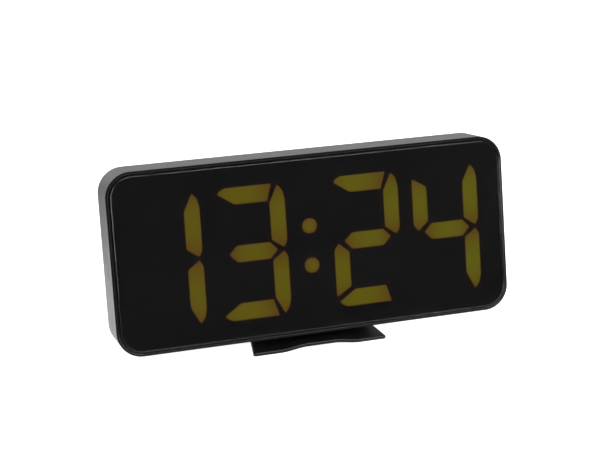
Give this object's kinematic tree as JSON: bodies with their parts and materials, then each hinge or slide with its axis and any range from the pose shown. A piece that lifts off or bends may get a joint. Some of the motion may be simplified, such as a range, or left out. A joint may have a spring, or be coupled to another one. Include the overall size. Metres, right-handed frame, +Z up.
{
  "type": "digital alarm clock",
  "caption": "Slim desk alarm clock: a leaning charcoal case with a dark glossy display of amber segment digits, on a thin black wave-shaped foot.",
  "frame": {"origin": "on the table under the middle of the clock's box", "axes": "+Z up, the display faces -Y and leans back, +X is to the viewer's right along the clock's width"},
  "size_m": [0.161, 0.047, 0.0758],
  "materials": {
    "housing_charcoal": "satin charcoal ABS, fine moulded grain",
    "frame_black": "satin black ABS",
    "smoked_lens": "polished smoked acrylic, lit segments show through",
    "mask_black": "black printed film",
    "diffuser_white": "translucent white sheet, lit amber-yellow at the segments",
    "reflector_white": "white moulded polycarbonate",
    "board_green": "green solder-resist board",
    "socket_black": "black moulded nylon",
    "button_black": "satin black ABS",
    "contact_nickel": "nickel-plated spring steel",
    "cell_wrap": "plain printed shrink wrap",
    "screw_steel": "zinc-plated steel",
    "foot_black": "high-gloss black ABS",
    "wire_red": "red PVC insulation",
    "wire_black": "black PVC insulation"
  },
  "bodies": {
    "clock": {"rear_housing": "housing_charcoal", "front_frame": "frame_black", "front_lens": "smoked_lens", "display_mask": "mask_black", "diffuser_sheet": "diffuser_white", "reflector_block": "reflector_white", "led_board": "board_green", "main_board": "board_green", "board_header": "socket_black", "clock_chip": "socket_black", "quartz_crystal": "contact_nickel", "capacitor": "socket_black", "piezo_buzzer": "socket_black", "power_inlet": "socket_black", "slide_switch": "contact_nickel", "tact_switch_mode": "contact_nickel", "tact_switch_up": "contact_nickel", "tact_switch_down": "contact_nickel", "tact_switch_alarm": "contact_nickel", "tact_switch_light": "contact_nickel", "battery_cell_1": "cell_wrap", "battery_cell_2": "cell_wrap", "battery_cell_3": "cell_wrap", "contact_spring_1": "contact_nickel", "contact_spring_2": "contact_nickel", "contact_spring_3": "contact_nickel", "terminal_negative": "contact_nickel", "terminal_positive": "contact_nickel", "contact_link_left": "contact_nickel", "contact_link_right": "contact_nickel", "battery_wire_positive": "wire_red", "battery_wire_negative": "wire_black", "case_screw_1": "screw_steel", "case_screw_2": "screw_steel", "case_screw_3": "screw_steel", "case_screw_4": "screw_steel", "board_screw_1": "screw_steel", "board_screw_2": "screw_steel", "foot_screw": "screw_steel", "foot": "foot_black"},
    "button_mode_body": {"button_mode": "button_black", "plunger_mode": "socket_black"},
    "button_up_body": {"button_up": "button_black", "plunger_up": "socket_black"},
    "button_down_body": {"button_down": "button_black", "plunger_down": "socket_black"},
    "button_alarm_body": {"button_alarm": "button_black", "plunger_alarm": "socket_black"},
    "button_light_body": {"button_light": "button_black", "plunger_light": "socket_black"},
    "alarm_knob_body": {"alarm_knob": "button_black"},
    "battery_door_body": {"battery_door": "housing_charcoal"}
  },
  "joints": [
    {"name": "button_mode_press", "type": "slide", "parent": "clock", "child": "button_mode_body", "axis": [0, -0.9751, 0.2215], "range_m": [0, 0.0005], "stiffness_N_per_m": 2000},
    {"name": "button_up_press", "type": "slide", "parent": "clock", "child": "button_up_body", "axis": [0, -0.9751, 0.2215], "range_m": [0, 0.0005], "stiffness_N_per_m": 2000},
    {"name": "button_down_press", "type": "slide", "parent": "clock", "child": "button_down_body", "axis": [0, -0.9751, 0.2215], "range_m": [0, 0.0005], "stiffness_N_per_m": 2000},
    {"name": "button_alarm_press", "type": "slide", "parent": "clock", "child": "button_alarm_body", "axis": [0, -0.9751, 0.2215], "range_m": [0, 0.0005], "stiffness_N_per_m": 2000},
    {"name": "button_light_press", "type": "slide", "parent": "clock", "child": "button_light_body", "axis": [0, -0.9751, 0.2215], "range_m": [0, 0.0005], "stiffness_N_per_m": 2000},
    {"name": "alarm_knob_slide", "type": "slide", "parent": "clock", "child": "alarm_knob_body", "axis": [1, 0, 0], "range_m": [0, 0.003]},
    {"name": "battery_door_hinge", "type": "hinge", "parent": "clock", "child": "battery_door_body", "pos_m": [-0.036, 0.00053, 0.01737], "axis": [-1, 0, 0], "range_deg": [0, 70]}
  ]
}
